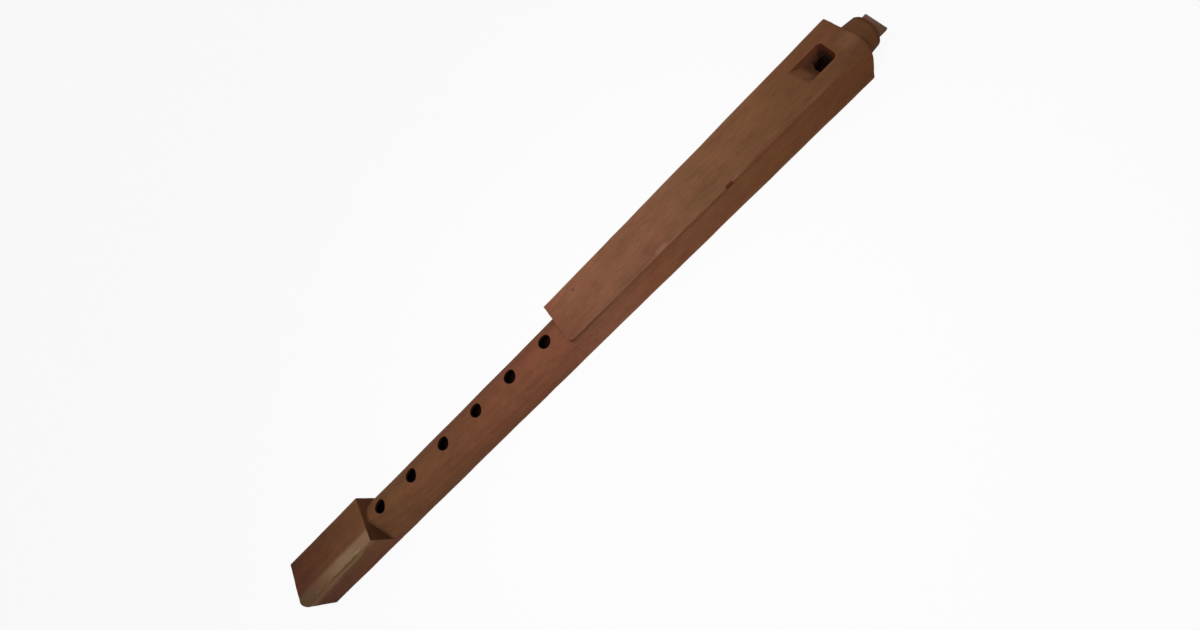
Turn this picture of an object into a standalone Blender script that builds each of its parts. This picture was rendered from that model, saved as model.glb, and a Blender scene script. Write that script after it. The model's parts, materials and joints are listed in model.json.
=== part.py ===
"""Tarka flute: a duct flute carved from one squared stick of wood, with a separate fipple block.

Metres, +Z up. The flute lies on its flat back. +X runs from the foot to the mouth end, and the front
face, with the finger holes and the window, looks up. The origin is on the back, under the middle of
the flute's length.
"""
import math

import bmesh
import bpy
from mathutils import Matrix, Vector

# Stick: three stretches of one squared length of wood
STICK_WIDTH = 0.0322
STICK_DEPTH = 0.0270
MOUTH_WIDTH = 0.0338
MOUTH_DEPTH = 0.0282
FOOT_LENGTH = 0.0714
FINGER_LENGTH = 0.1838
HEAD_LENGTH = 0.2233
EDGE_ROUND = 0.0007

# Worn front right edge of the foot: how far the rounding reaches over the front and down the side at
# the foot end, and the share of it that is left at the step
FOOT_WEAR_ACROSS = 0.0046
FOOT_WEAR_DOWN = 0.0070
FOOT_WEAR_STEP_SHARE = 0.22

# Bore, drilled through the whole stick
BORE_DIAMETER = 0.0152
BACK_WALL = 0.0062

# Finger section: the front carved down to a round crown, which springs from low on the sides
FINGER_ROOF = 0.0018
FLANK_INSET = 0.0003
FLANK_SPRING = 0.0040

# Knife's facet on the right flank, flat at the foot's step: how far beside the crown's middle it starts
# there, how high it meets the side, and how far along the finger section it runs out
FACET_START = 0.0020
FACET_SPRING = 0.0085
FACET_LENGTH = 0.0280

# Finger holes
HOLE_COUNT = 6
HOLE_DIAMETER = 0.0087
FIRST_HOLE_FROM_FOOT = 0.0124
LAST_HOLE_FROM_HEAD = 0.0153

# Mouth end: round nipple, and one front corner rounded off for the lip
NIPPLE_LENGTH = 0.0111
NIPPLE_WALL = 0.0028
NIPPLE_RISE = 0.0005
NIPPLE_FLARE = 0.0012
NIPPLE_COVE = 0.0016
NIPPLE_RIM_ROUND = 0.0010
LIP_RELIEF = 0.0120
LIP_RELIEF_LENGTH = 0.0300

# Window and labium, cut through the front of the head
WINDOW_FROM_SHOULDER = 0.0133
WINDOW_LENGTH = 0.0088
WINDOW_WIDTH = 0.0120
WINDOW_CORNER = 0.0016
RAMP_LENGTH = 0.0122
RAMP_TIP_WIDTH = 0.0148
LABIUM_THICKNESS = 0.0006

# Fipple block, pressed into the bore at the mouth end
BLOCK_PROUD = 0.0082
BLOCK_CHAMFER = 0.0005
BLOCK_BEVEL = 0.0052
BLOCK_BEVEL_ROLL = math.radians(13)
BLOCK_CLEARANCE = 0.0003
WINDWAY_HEIGHT = 0.0016

# Colours and roughness of the two woods
BODY_COLOUR = (0.165, 0.062, 0.036)
BODY_ROUGHNESS = 0.55
BLOCK_COLOUR = (0.190, 0.072, 0.046)
BLOCK_ROUGHNESS = 0.60

# Fineness of round forms
BORE_SIDES = 48
HOLE_SIDES = 32
CROWN_STEPS = 32
TURNED_STEPS = 64
ARC_STEPS = 6
ROUNDING_STEPS = 12
ROUND_SEGMENTS = 3

# How far a cutter reaches past what it cuts, the share by which an edge's rounding is sunk past
# its two faces, and the weld and crease limits of the meshes
OVERCUT = 0.0030
ROUNDING_SINK = 0.015
WELD = 0.000001
CREASE_ANGLE = math.radians(32)

# Places that follow from the sizes above
BORE_RADIUS = BORE_DIAMETER / 2
BORE_HEIGHT = BACK_WALL + BORE_RADIUS
CROWN_HEIGHT = BACK_WALL + BORE_DIAMETER + FINGER_ROOF
STICK_LENGTH = FOOT_LENGTH + FINGER_LENGTH + HEAD_LENGTH
TOTAL_LENGTH = STICK_LENGTH + NIPPLE_LENGTH + BLOCK_PROUD
FOOT_END = -TOTAL_LENGTH / 2
FOOT_STEP = FOOT_END + FOOT_LENGTH
HEAD_STEP = FOOT_STEP + FINGER_LENGTH
SHOULDER = HEAD_STEP + HEAD_LENGTH
NIPPLE_END = SHOULDER + NIPPLE_LENGTH
BLOCK_END = NIPPLE_END + BLOCK_PROUD
WINDOW_HEAD = SHOULDER - WINDOW_FROM_SHOULDER
LABIUM = WINDOW_HEAD - WINDOW_LENGTH
RAMP_TIP = LABIUM - RAMP_LENGTH

# Turns that lay a flat outline, drawn in X and Y with its thickness along Z
ACROSS_THE_STICK = Matrix(((0, 0, 1), (1, 0, 0), (0, 1, 0))).to_4x4()
ALONG_THE_STICK = Matrix.Rotation(math.pi / 2, 4, "X")
AXIS_TO_MOUTH = Matrix.Rotation(math.pi / 2, 4, "Y")


def head_share(x):
    """Share of the head's swelling reached at x: 0 at its lower end, 1 at the shoulder."""
    return max(0.0, (x - HEAD_STEP) / HEAD_LENGTH)


def half_width(x):
    return (STICK_WIDTH + (MOUTH_WIDTH - STICK_WIDTH) * head_share(x)) / 2


def front_height(x):
    return STICK_DEPTH + (MOUTH_DEPTH - STICK_DEPTH) * head_share(x)


def arc(centre, radius, start, end, steps):
    """Points along an arc in a plane, from one angle to another."""
    angles = [start + (end - start) * step / steps for step in range(steps + 1)]
    return [(centre[0] + radius * math.cos(a), centre[1] + radius * math.sin(a)) for a in angles]


def clear_scene():
    for old in list(bpy.data.objects):
        bpy.data.objects.remove(old, do_unlink=True)


def new_collection(name):
    collection = bpy.data.collections.new(name)
    bpy.context.scene.collection.children.link(collection)
    return collection


def wood(name, colour, roughness):
    material = bpy.data.materials.new(name)
    material.use_nodes = True
    shader = material.node_tree.nodes["Principled BSDF"]
    shader.inputs["Base Color"].default_value = (*colour, 1.0)
    shader.inputs["Roughness"].default_value = roughness
    shader.inputs["Metallic"].default_value = 0.0
    return material


def object_from(bm, name, collection):
    """A new object that holds a bmesh, with its faces turned outwards."""
    bmesh.ops.recalc_face_normals(bm, faces=bm.faces)
    mesh = bpy.data.meshes.new(name)
    bm.to_mesh(mesh)
    bm.free()
    new = bpy.data.objects.new(name, mesh)
    collection.objects.link(new)
    return new


def as_cutter(tool):
    tool.hide_render = True
    tool.display_type = "WIRE"
    return tool


def evaluated_bmesh(source):
    """The object's mesh with its modifiers done, its doubles welded, in world space."""
    graph = bpy.context.evaluated_depsgraph_get()
    mesh = bpy.data.meshes.new_from_object(source.evaluated_get(graph))
    bm = bmesh.new()
    bm.from_mesh(mesh)
    bpy.data.meshes.remove(mesh)
    bmesh.ops.remove_doubles(bm, verts=bm.verts, dist=WELD)
    bmesh.ops.transform(bm, matrix=source.matrix_world, verts=bm.verts)
    return bm


def outline_bmesh(outline, thickness, turn):
    """A closed flat outline given a thickness, centred on its plane, and turned into place."""
    curve = bpy.data.curves.new("outline", "CURVE")
    curve.dimensions = "2D"
    curve.fill_mode = "BOTH"
    curve.extrude = thickness / 2
    spline = curve.splines.new("POLY")
    spline.points.add(len(outline) - 1)
    for point, (x, y) in zip(spline.points, outline):
        point.co = (x, y, 0.0, 1.0)
    spline.use_cyclic_u = True
    flat = bpy.data.objects.new("outline", curve)
    bpy.context.scene.collection.objects.link(flat)
    flat.matrix_world = turn
    bpy.context.view_layer.update()
    bm = evaluated_bmesh(flat)
    bpy.data.objects.remove(flat, do_unlink=True)
    return bm


def rod(bm, radius, length, sides, place):
    bmesh.ops.create_cone(bm, cap_ends=True, segments=sides, radius1=radius, radius2=radius,
                          depth=length, matrix=place)


def combine(piece, tool, operation):
    modifier = piece.modifiers.new(tool.name, "BOOLEAN")
    modifier.operation = operation
    modifier.solver = "EXACT"
    modifier.object = tool


def settle(piece, material):
    """Make the modifiers' result the piece's own mesh, smooth apart from its creases."""
    bpy.context.view_layer.update()
    bm = evaluated_bmesh(piece)
    bmesh.ops.transform(bm, matrix=piece.matrix_world.inverted(), verts=bm.verts)
    bmesh.ops.dissolve_degenerate(bm, edges=bm.edges, dist=WELD)
    piece.modifiers.clear()
    bm.to_mesh(piece.data)
    bm.free()
    piece.data.materials.clear()
    piece.data.materials.append(material)
    piece.data.shade_smooth()
    piece.data.set_sharp_from_angle(angle=CREASE_ANGLE)


def squared_stick(collection):
    """The blank: square at the foot, swelling over the head, with its edges eased."""
    bm = bmesh.new()
    middle = Matrix.Translation((FOOT_END + STICK_LENGTH / 2, 0.0, STICK_DEPTH / 2))
    size = Matrix.Diagonal((STICK_LENGTH, STICK_WIDTH, STICK_DEPTH, 1.0))
    bmesh.ops.create_cube(bm, size=1.0, matrix=middle @ size)
    whole = bm.verts[:] + bm.edges[:] + bm.faces[:]
    bmesh.ops.bisect_plane(bm, geom=whole, plane_co=(HEAD_STEP, 0.0, 0.0), plane_no=(1.0, 0.0, 0.0))
    for vert in bm.verts:
        if vert.co.x > SHOULDER - WELD:
            vert.co.y *= MOUTH_WIDTH / STICK_WIDTH
            vert.co.z *= MOUTH_DEPTH / STICK_DEPTH
    stick = object_from(bm, "flute_body", collection)
    bevel = stick.modifiers.new("eased edges", "BEVEL")
    bevel.limit_method = "ANGLE"
    bevel.width = EDGE_ROUND
    bevel.segments = ROUND_SEGMENTS
    return stick


def facet_plane():
    """A point of the knife's facet at the foot's step, and its outward direction, in Y and Z."""
    half = STICK_WIDTH / 2 - FLANK_INSET
    rise = CROWN_HEIGHT - FLANK_SPRING
    start = Vector((-FACET_START, FLANK_SPRING + rise * math.sqrt(1 - (FACET_START / half) ** 2)))
    run = Vector((-half, FACET_SPRING)) - start
    return start, Vector((run.y, -run.x)).normalized()


def finger_scoop(collection):
    """Everything outside the finger section, which is round over the front.

    At the foot's step the right flank is flat, and it grows round over the facet's length.
    """
    half = STICK_WIDTH / 2 - FLANK_INSET
    rise = CROWN_HEIGHT - FLANK_SPRING
    reach = STICK_WIDTH / 2 + OVERCUT
    top = max(STICK_DEPTH, CROWN_HEIGHT) + OVERCUT
    half_circle = arc((0.0, 0.0), 1.0, 0.0, math.pi, CROWN_STEPS)
    crown = [(half * y, FLANK_SPRING + rise * z) for y, z in half_circle]
    outline = [(half, -OVERCUT)] + crown + [(-half, -OVERCUT)]
    outline += [(-reach, -OVERCUT), (-reach, top), (reach, top), (reach, -OVERCUT)]
    turn = Matrix.Translation(((FOOT_STEP + HEAD_STEP) / 2, 0.0, 0.0)) @ ACROSS_THE_STICK
    bm = outline_bmesh(outline, FINGER_LENGTH, turn)
    whole = bm.verts[:] + bm.edges[:] + bm.faces[:]
    run_out = (FOOT_STEP + FACET_LENGTH, 0.0, 0.0)
    bmesh.ops.bisect_plane(bm, geom=whole, plane_co=run_out, plane_no=(1.0, 0.0, 0.0))
    at_step = [face for face in bm.faces if all(vert.co.x < FOOT_STEP + WELD for vert in face.verts)]
    step_face = bmesh.ops.dissolve_faces(bm, faces=at_step)["region"][0]
    start, outward = facet_plane()
    for vert in step_face.verts:
        if abs(vert.co.y) < half + WELD:
            proud = (vert.co.yz - start).dot(outward)
            vert.co.yz -= outward * max(0.0, proud)
    return as_cutter(object_from(bm, "finger_scoop", collection))


def front_right_rounding(name, across, down, start, end, start_share, end_share, collection):
    """Takes the front right edge off between two stations, as a quarter of an ellipse.

    Each share says how much of the full rounding is reached at that station.
    """
    # The arc runs a little past both faces, so that it meets them at a clean crease
    sunk = 1.0 - ROUNDING_SINK
    meet = math.acos(sunk)
    rounded = arc((sunk, -sunk), 1.0, math.pi / 2 - meet, math.pi + meet, ROUNDING_STEPS)
    outline = rounded + [(-sunk, rounded[-1][1]), (-sunk, sunk), (rounded[0][0], sunk)]
    turn = Matrix.Translation(((start + end) / 2, 0.0, 0.0)) @ ACROSS_THE_STICK
    bm = outline_bmesh(outline, end - start, turn)
    for vert in bm.verts:
        share = end_share if vert.co.x > (start + end) / 2 else start_share
        vert.co.y = vert.co.y * share * across - half_width(vert.co.x)
        vert.co.z = vert.co.z * share * down + front_height(vert.co.x)
    return as_cutter(object_from(bm, name, collection))


def foot_wear(collection):
    """The foot's front right edge, worn round, most at the foot end and little at the step."""
    return front_right_rounding("foot_wear", FOOT_WEAR_ACROSS, FOOT_WEAR_DOWN, FOOT_END - OVERCUT,
                                FOOT_STEP + OVERCUT, 1.0, FOOT_WEAR_STEP_SHARE, collection)


def lip_relief(collection):
    """The head's front right edge, rounded off for the lip, from nothing to its full radius."""
    start = SHOULDER - LIP_RELIEF_LENGTH
    end = SHOULDER + OVERCUT
    return front_right_rounding("lip_relief", LIP_RELIEF, LIP_RELIEF, start, end, EDGE_ROUND / LIP_RELIEF,
                                (end - start) / LIP_RELIEF_LENGTH, collection)


def mouth_nipple(collection):
    """The round nipple, with a cove at its root and a rounded rim, a little in front of the bore.

    The flare and the cove go no wider than the head's front face lets them.
    """
    axis_height = BORE_HEIGHT + NIPPLE_RISE
    widest = front_height(SHOULDER) - axis_height - EDGE_ROUND
    rim = BORE_RADIUS + NIPPLE_WALL
    root = rim + NIPPLE_FLARE
    profile = [(0.0, NIPPLE_LENGTH)]
    rim_centre = (rim - NIPPLE_RIM_ROUND, NIPPLE_LENGTH - NIPPLE_RIM_ROUND)
    profile += arc(rim_centre, NIPPLE_RIM_ROUND, math.pi / 2, 0.0, ARC_STEPS)
    cove_centre = (root + NIPPLE_COVE, NIPPLE_COVE)
    profile += arc(cove_centre, NIPPLE_COVE, math.pi, 1.5 * math.pi, ARC_STEPS)
    profile += [(root + NIPPLE_COVE, -OVERCUT), (0.0, -OVERCUT)]
    mesh = bpy.data.meshes.new("nipple_profile")
    points = [(min(radius, widest), 0.0, height) for radius, height in profile]
    mesh.from_pydata(points, [(i, i + 1) for i in range(len(points) - 1)], [])
    turned = bpy.data.objects.new("nipple_profile", mesh)
    bpy.context.scene.collection.objects.link(turned)
    screw = turned.modifiers.new("turned", "SCREW")
    screw.axis = "Z"
    screw.steps = TURNED_STEPS
    screw.render_steps = TURNED_STEPS
    screw.use_merge_vertices = True
    screw.merge_threshold = WELD
    turned.matrix_world = Matrix.Translation((SHOULDER, 0.0, axis_height)) @ AXIS_TO_MOUTH
    bpy.context.view_layer.update()
    bm = evaluated_bmesh(turned)
    bpy.data.objects.remove(turned, do_unlink=True)
    return as_cutter(object_from(bm, "mouth_nipple", collection))


def bore_drill(collection):
    bm = bmesh.new()
    middle = Matrix.Translation(((FOOT_END + NIPPLE_END) / 2, 0.0, BORE_HEIGHT))
    rod(bm, BORE_RADIUS, NIPPLE_END - FOOT_END + 2 * OVERCUT, BORE_SIDES, middle @ AXIS_TO_MOUTH)
    return as_cutter(object_from(bm, "bore_drill", collection))


def finger_hole_drills(collection):
    """A drill for each finger hole, evenly spaced, from above the crown down into the bore."""
    bm = bmesh.new()
    first = FOOT_STEP + FIRST_HOLE_FROM_FOOT
    last = HEAD_STEP - LAST_HOLE_FROM_HEAD
    top = CROWN_HEIGHT + OVERCUT
    for number in range(HOLE_COUNT):
        x = first + (last - first) * number / (HOLE_COUNT - 1)
        place = Matrix.Translation((x, 0.0, (BORE_HEIGHT + top) / 2))
        rod(bm, HOLE_DIAMETER / 2, top - BORE_HEIGHT, HOLE_SIDES, place)
    return as_cutter(object_from(bm, "finger_hole_drills", collection))


def window_chisel(collection):
    """The window's cut, from the front face into the bore, square at the labium side."""
    top = max(STICK_DEPTH, MOUTH_DEPTH) + OVERCUT
    bm = bmesh.new()
    middle = Matrix.Translation(((LABIUM + WINDOW_HEAD) / 2, 0.0, (BORE_HEIGHT + top) / 2))
    size = Matrix.Diagonal((WINDOW_LENGTH, WINDOW_WIDTH, top - BORE_HEIGHT, 1.0))
    bmesh.ops.create_cube(bm, size=1.0, matrix=middle @ size)
    head_side = [edge for edge in bm.edges if all(vert.co.x > WINDOW_HEAD - WELD for vert in edge.verts)]
    corners = [edge for edge in head_side if abs(edge.verts[0].co.z - edge.verts[1].co.z) > OVERCUT]
    bmesh.ops.bevel(bm, geom=corners, offset=WINDOW_CORNER, segments=ARC_STEPS, affect="EDGES",
                    profile=0.5)
    return as_cutter(object_from(bm, "window_chisel", collection))


def ramp_chisel(collection):
    """The sloping cut from the front face down to the labium, wider at its tip."""
    edge_height = BACK_WALL + BORE_DIAMETER + LABIUM_THICKNESS
    rise = (front_height(RAMP_TIP) - edge_height) / RAMP_LENGTH
    top = max(STICK_DEPTH, MOUTH_DEPTH) + OVERCUT
    beyond = RAMP_TIP - (top - front_height(RAMP_TIP)) / rise
    inside = LABIUM + WINDOW_LENGTH / 2
    outline = [(beyond, top), (LABIUM, edge_height), (inside, edge_height), (inside, top)]
    bm = outline_bmesh(outline, WINDOW_WIDTH, ALONG_THE_STICK)
    flare = (RAMP_TIP_WIDTH - WINDOW_WIDTH) / 2 / RAMP_LENGTH
    for vert in bm.verts:
        half = WINDOW_WIDTH / 2 + flare * (LABIUM - vert.co.x)
        vert.co.y = math.copysign(half, vert.co.y)
    return as_cutter(object_from(bm, "ramp_chisel", collection))


def flute_body(parts, tools, material):
    body = squared_stick(parts)
    combine(body, finger_scoop(tools), "DIFFERENCE")
    combine(body, foot_wear(tools), "DIFFERENCE")
    combine(body, lip_relief(tools), "DIFFERENCE")
    combine(body, mouth_nipple(tools), "UNION")
    combine(body, bore_drill(tools), "DIFFERENCE")
    combine(body, finger_hole_drills(tools), "DIFFERENCE")
    combine(body, window_chisel(tools), "DIFFERENCE")
    combine(body, ramp_chisel(tools), "DIFFERENCE")
    settle(body, material)
    return body


def windway_plane(collection):
    """Planes the flat along the block's front side that leaves the windway open."""
    flat = BORE_HEIGHT + BORE_RADIUS - WINDWAY_HEIGHT
    length = BLOCK_END - WINDOW_HEAD + 2 * OVERCUT
    height = WINDWAY_HEIGHT + OVERCUT
    bm = bmesh.new()
    middle = Matrix.Translation(((WINDOW_HEAD + BLOCK_END) / 2, 0.0, flat + height / 2))
    size = Matrix.Diagonal((length, BORE_DIAMETER, height, 1.0))
    bmesh.ops.create_cube(bm, size=1.0, matrix=middle @ size)
    return as_cutter(object_from(bm, "windway_plane", collection))


def end_bevel(collection):
    """Slopes the front half of the block's outer end back towards the windway, a little out of level."""
    slope = math.atan2(BORE_RADIUS, BLOCK_BEVEL)
    height = BORE_DIAMETER
    place = Matrix.Translation((BLOCK_END, 0.0, BORE_HEIGHT))
    tilt = Matrix.Rotation(BLOCK_BEVEL_ROLL, 4, "X") @ Matrix.Rotation(slope, 4, "Y")
    size = Matrix.Diagonal((2 * BORE_DIAMETER, 2 * BORE_DIAMETER, height, 1.0))
    bm = bmesh.new()
    bmesh.ops.create_cube(bm, size=1.0, matrix=place @ tilt @ Matrix.Translation((0, 0, height / 2)) @ size)
    return as_cutter(object_from(bm, "end_bevel", collection))


def fipple_block(parts, tools, material):
    """A plug from the window's edge to a little proud of the nipple, its origin on the bore's axis."""
    radius = BORE_RADIUS - BLOCK_CLEARANCE
    length = BLOCK_END - WINDOW_HEAD
    bm = bmesh.new()
    rod(bm, radius, length, BORE_SIDES, Matrix.Translation((length / 2, 0.0, 0.0)) @ AXIS_TO_MOUTH)
    outer_rim = [edge for edge in bm.edges if all(vert.co.x > length - WELD for vert in edge.verts)]
    bmesh.ops.bevel(bm, geom=outer_rim, offset=BLOCK_CHAMFER, segments=ROUND_SEGMENTS, affect="EDGES",
                    profile=0.5)
    block = object_from(bm, "fipple_block", parts)
    block.location = (WINDOW_HEAD, 0.0, BORE_HEIGHT)
    combine(block, windway_plane(tools), "DIFFERENCE")
    combine(block, end_bevel(tools), "DIFFERENCE")
    settle(block, material)
    return block


def main():
    clear_scene()
    parts = new_collection("tarka_flute")
    tools = new_collection("tarka_flute_cutters")
    frame = bpy.data.objects.new("tarka_flute", None)
    parts.objects.link(frame)
    body = flute_body(parts, tools, wood("body_wood", BODY_COLOUR, BODY_ROUGHNESS))
    block = fipple_block(parts, tools, wood("block_wood", BLOCK_COLOUR, BLOCK_ROUGHNESS))
    for piece in (body, block):
        piece.parent = frame


main()
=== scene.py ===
"""Looks of a carved wooden tarka flute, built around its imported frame.

Metres, +Z up. The flute lies on its flat back. +X runs from the foot to the mouth end, and the front,
with the finger holes and the window, looks up. The right side, towards -Y, faces the camera.
"""
import contextlib
import functools
import json
import math
from typing import NamedTuple

import bmesh
import bpy
from mathutils import Matrix, Vector


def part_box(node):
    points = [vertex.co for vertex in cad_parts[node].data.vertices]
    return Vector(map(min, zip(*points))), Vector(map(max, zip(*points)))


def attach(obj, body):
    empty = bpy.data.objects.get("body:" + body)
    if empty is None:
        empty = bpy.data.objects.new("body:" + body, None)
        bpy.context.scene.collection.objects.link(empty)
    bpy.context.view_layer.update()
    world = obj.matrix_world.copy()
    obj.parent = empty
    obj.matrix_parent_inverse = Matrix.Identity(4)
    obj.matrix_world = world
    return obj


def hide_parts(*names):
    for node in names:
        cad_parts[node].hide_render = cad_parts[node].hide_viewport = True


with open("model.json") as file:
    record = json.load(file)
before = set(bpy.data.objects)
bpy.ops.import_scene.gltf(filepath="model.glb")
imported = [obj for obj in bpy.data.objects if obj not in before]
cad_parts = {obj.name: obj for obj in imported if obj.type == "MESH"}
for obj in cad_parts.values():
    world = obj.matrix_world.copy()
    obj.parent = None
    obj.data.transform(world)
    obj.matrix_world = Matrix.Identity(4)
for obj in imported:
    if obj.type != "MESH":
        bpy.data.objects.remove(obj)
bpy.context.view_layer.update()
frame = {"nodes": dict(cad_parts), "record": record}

# The stick and its cuts, as the solid has them
STICK_WIDTH = 0.0322
STICK_DEPTH = 0.0270
FOOT_LENGTH = 0.0714
FINGER_LENGTH = 0.1838
EDGE_ROUND = 0.0007
FOOT_WEAR_ACROSS = 0.0046
CROWN_HEIGHT = 0.0232
FLANK_SPRING = 0.0040
FACET_START = 0.0020
FACET_SPRING = 0.0085
FACET_LENGTH = 0.0280
BORE_RADIUS = 0.0076
NIPPLE_LENGTH = 0.0111
NIPPLE_RIM = 0.0104
NIPPLE_ROOT = 0.0116
NIPPLE_RISE = 0.0005
LIP_RELIEF = 0.0120
LIP_RELIEF_LENGTH = 0.0300
HOLE_RADIUS = 0.00435
WINDOW_LENGTH = 0.0088
WINDOW_WIDTH = 0.0120
RAMP_LENGTH = 0.0122
LABIUM_THICKNESS = 0.0006

# Carved finer than the solid: the foot's wear, the right flank, the head's step and the mouth end
END_ROUND = 0.0011
FOOT_WEAR_DOWN = 0.0066
FOOT_WEAR_STEP_SHARE = 0.15
FOOT_WEAR_TAPER = 0.020
FLANK_INSET = 0.00005
FULL_FLANK = 0.64
FULL_FLANK_LENGTH = 0.032
STEP_EARLY = 0.0018
STEP_ROUND = 0.0004
STEP_CORNER = 0.0014
STEP_CORNER_LENGTH = 0.0055
TIP_RADIUS = 0.0042
TIP_FADE = 0.014
SHOULDER_ROUND = 0.0014
SHOULDER_FALL = 0.6
SHOULDER_DRAWN = 0.4
NIPPLE_COVE = 0.0014
NIPPLE_RIM_ROUND = 0.0004
BORE_CHAMFER = 0.0004
CROWN_HALF = STICK_WIDTH / 2 - FLANK_INSET
CROWN_RISE = CROWN_HEIGHT - FLANK_SPRING

# Lips of the holes and the window, and how the window's walls lean, round and stand askew
HOLE_LIP = 0.00035
WINDOW_LIP = 0.0003
LEFT_SPREAD = 0.0016
LEFT_CORNER = 0.0020
LEFT_HEAD = 0.0004
RIGHT_SPREAD = 0.0012
RIGHT_CORNER = 0.0036
RIGHT_HEAD = -0.0005
HEAD_WALL_LEAN = 0.2
LABIUM_ASKEW = 0.00095
ASKEW_FROM = 0.0002
ASKEW_TO = 0.0038
RAMP_STROKES = 3
STROKE_SAG = 0.00014

# A chip out of the head's front right edge
NICK_FROM_FOOT = 0.3787
NICK_LENGTH = 0.0056
NICK_ACROSS = 0.0009
NICK_DOWN = 0.0024
NICK_EDGE = 0.0002

# Hand carving: how deep the knife left the faces uneven, how long and wide its waves are, and their rise
CARVING_DEPTH = 0.00022
CARVING_LENGTH = 0.024
CARVING_WIDTH = 0.007
CARVING_RISE = (0.25, 0.75)

# Spacing of the loft's rings, and the points of a quarter of its profile
RING_STEP = 0.0015
BORE_STEP = 0.0060
ROUND_RINGS = 5
QUARTER_TURN = [math.pi / 2 * i / ROUND_RINGS for i in range(ROUND_RINGS + 1)]
SIDE_POINTS = 11
CORNER_POINTS = 12
FRONT_POINTS = 13
LEAST_ROUND = 0.0002
NOT_PLANED = 1.0
OVERCUT = 0.003
WELD = 0.000002
CREASE_ANGLE = math.radians(38)

# Drills, and the block's eased edges
DRILL_SIDES = 56
DRILL_RINGS = 60
BLOCK_EDGE = 0.0004
BLOCK_EDGE_SEGMENTS = 2
FLAT_ANGLE = math.radians(0.5)

# Camera
PICTURE_WIDTH = 1200
FOCAL_PIXELS = 532.45
SENSOR_WIDTH = 36.0
NEAREST_SEEN = 0.01
CAMERA_FROM_FOOT = 0.32448
CAMERA_Y = -0.17862
CAMERA_Z = 0.28108
CAMERA_RIGHT = (0.7018, -0.5359, -0.4694)
CAMERA_UP = (0.6956, 0.6575, 0.2895)
CAMERA_AHEAD = (-0.1535, 0.5297, -0.8342)

# Stage
FLOOR_HALF = 4.0
FLOOR_GAP = 0.0003
FLOOR_COLOUR = (0.82, 0.82, 0.82, 1.0)
FLOOR_GLOW = 0.92
WHITE = (1.0, 1.0, 1.0, 1.0)
ROOM_LIGHT = 0.32
KEY_POWER = 1.0
KEY_FROM_FOOT = 0.265
KEY_Y = -0.11
KEY_Z = 0.37
KEY_SIZE = 0.20
KEY_AIM_Z = 0.02

# Colours of the wood along the stick, from the foot to the mouth end, partly its own tone and partly painted
# light and shade along it, and of its marks
LENGTH_COLOURS = [
    (0.00, (0.088, 0.030, 0.019)), (0.04, (0.130, 0.049, 0.024)), (0.14, (0.167, 0.071, 0.032)),
    (0.30, (0.164, 0.065, 0.031)), (0.50, (0.197, 0.068, 0.037)), (0.55, (0.220, 0.089, 0.050)),
    (0.72, (0.212, 0.094, 0.049)), (0.86, (0.190, 0.082, 0.037)), (1.00, (0.158, 0.064, 0.028))]
RED_WOOD = (0.190, 0.060, 0.034)
BROWN_WOOD = (0.150, 0.073, 0.031)
PORE_DARK = (0.060, 0.020, 0.011)
# Painted shade in the chip of the head's edge
CHIP_SHADE = (0.076, 0.019, 0.006)
# Pale rubbed wood, also laid as painted sheen and a painted highlight
RUBBED_AND_HIGHLIGHT_WOOD = (0.260, 0.130, 0.078)
# The foot's pale band: wear with a painted sheen
WORN_SHEEN_WOOD = (0.272, 0.168, 0.094)
GRIMED_WOOD = (0.130, 0.082, 0.042)
# The foot's pale rounding: wear with a painted sheen
ROUNDING_SHEEN_WOOD = (0.235, 0.150, 0.072)
# Chips in the foot's band, with painted glints
CHIP_GLINT_WOOD = (0.370, 0.255, 0.140)
RIM_WOOD = (0.075, 0.022, 0.014)
LINE_DARK = (0.062, 0.024, 0.012)
# A painted shadow close under the head's ridge
RIDGE_SHADOW = (0.055, 0.010, 0.003)
# Painted shade and light in the window: its cut, its walls, the lit left wall, and deep down
CUT_SHADE = (0.062, 0.022, 0.013)
WALL_SHADE = (0.080, 0.022, 0.010)
WALL_LIT = (0.162, 0.054, 0.026)
DEEP_WALL_SHADE = (0.075, 0.033, 0.022)
# Painted shade that tints the head's sides redder and darker
SIDE_SHADE_TINT = (1.0, 0.89, 0.76)
END_GRAIN = (0.070, 0.024, 0.011)
# Painted near-black shade inside the bore, the holes and the block's inner end
INNER_SHADE = (0.011, 0.006, 0.004)
# Laid as painted shade
BLACK = (0.0, 0.0, 0.0)
BLOCK_COLOURS = [(0.3, (0.195, 0.101, 0.080)), (0.7, (0.262, 0.136, 0.106))]
# Painted shade on the block's right side
BLOCK_RIGHT_SHADE = (0.140, 0.078, 0.040)

# Places read from the frame
body_low, body_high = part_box("flute_body")
block_low, block_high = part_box("fipple_block")
openings = {row["name"]: row["box_m"] for row in frame["record"]["physics"]["openings"]}
hole_boxes = [box for name, box in sorted(openings.items()) if name.startswith("finger_hole")]
hole_places = [(low[0] + high[0]) / 2 for low, high in hole_boxes]
FOOT_END = body_low.x
FOOT_STEP = FOOT_END + FOOT_LENGTH
HEAD_STEP = FOOT_STEP + FINGER_LENGTH - STEP_EARLY
NIPPLE_END = body_high.x
SHOULDER = NIPPLE_END - NIPPLE_LENGTH
BLOCK_END = block_high.x
NICK = FOOT_END + NICK_FROM_FOOT
MOUTH_WIDTH = body_high.y - body_low.y
MOUTH_DEPTH = body_high.z
BORE_HEIGHT = (openings["bore"][0][2] + openings["bore"][1][2]) / 2
HOLE_COUNT = len(hole_places)
HOLE_PITCH = (hole_places[-1] - hole_places[0]) / (HOLE_COUNT - 1)
WINDOW_HEAD = block_low.x
LABIUM = WINDOW_HEAD - WINDOW_LENGTH
RAMP_TIP = LABIUM - RAMP_LENGTH
BORE_TOP = BORE_HEIGHT + BORE_RADIUS


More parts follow.
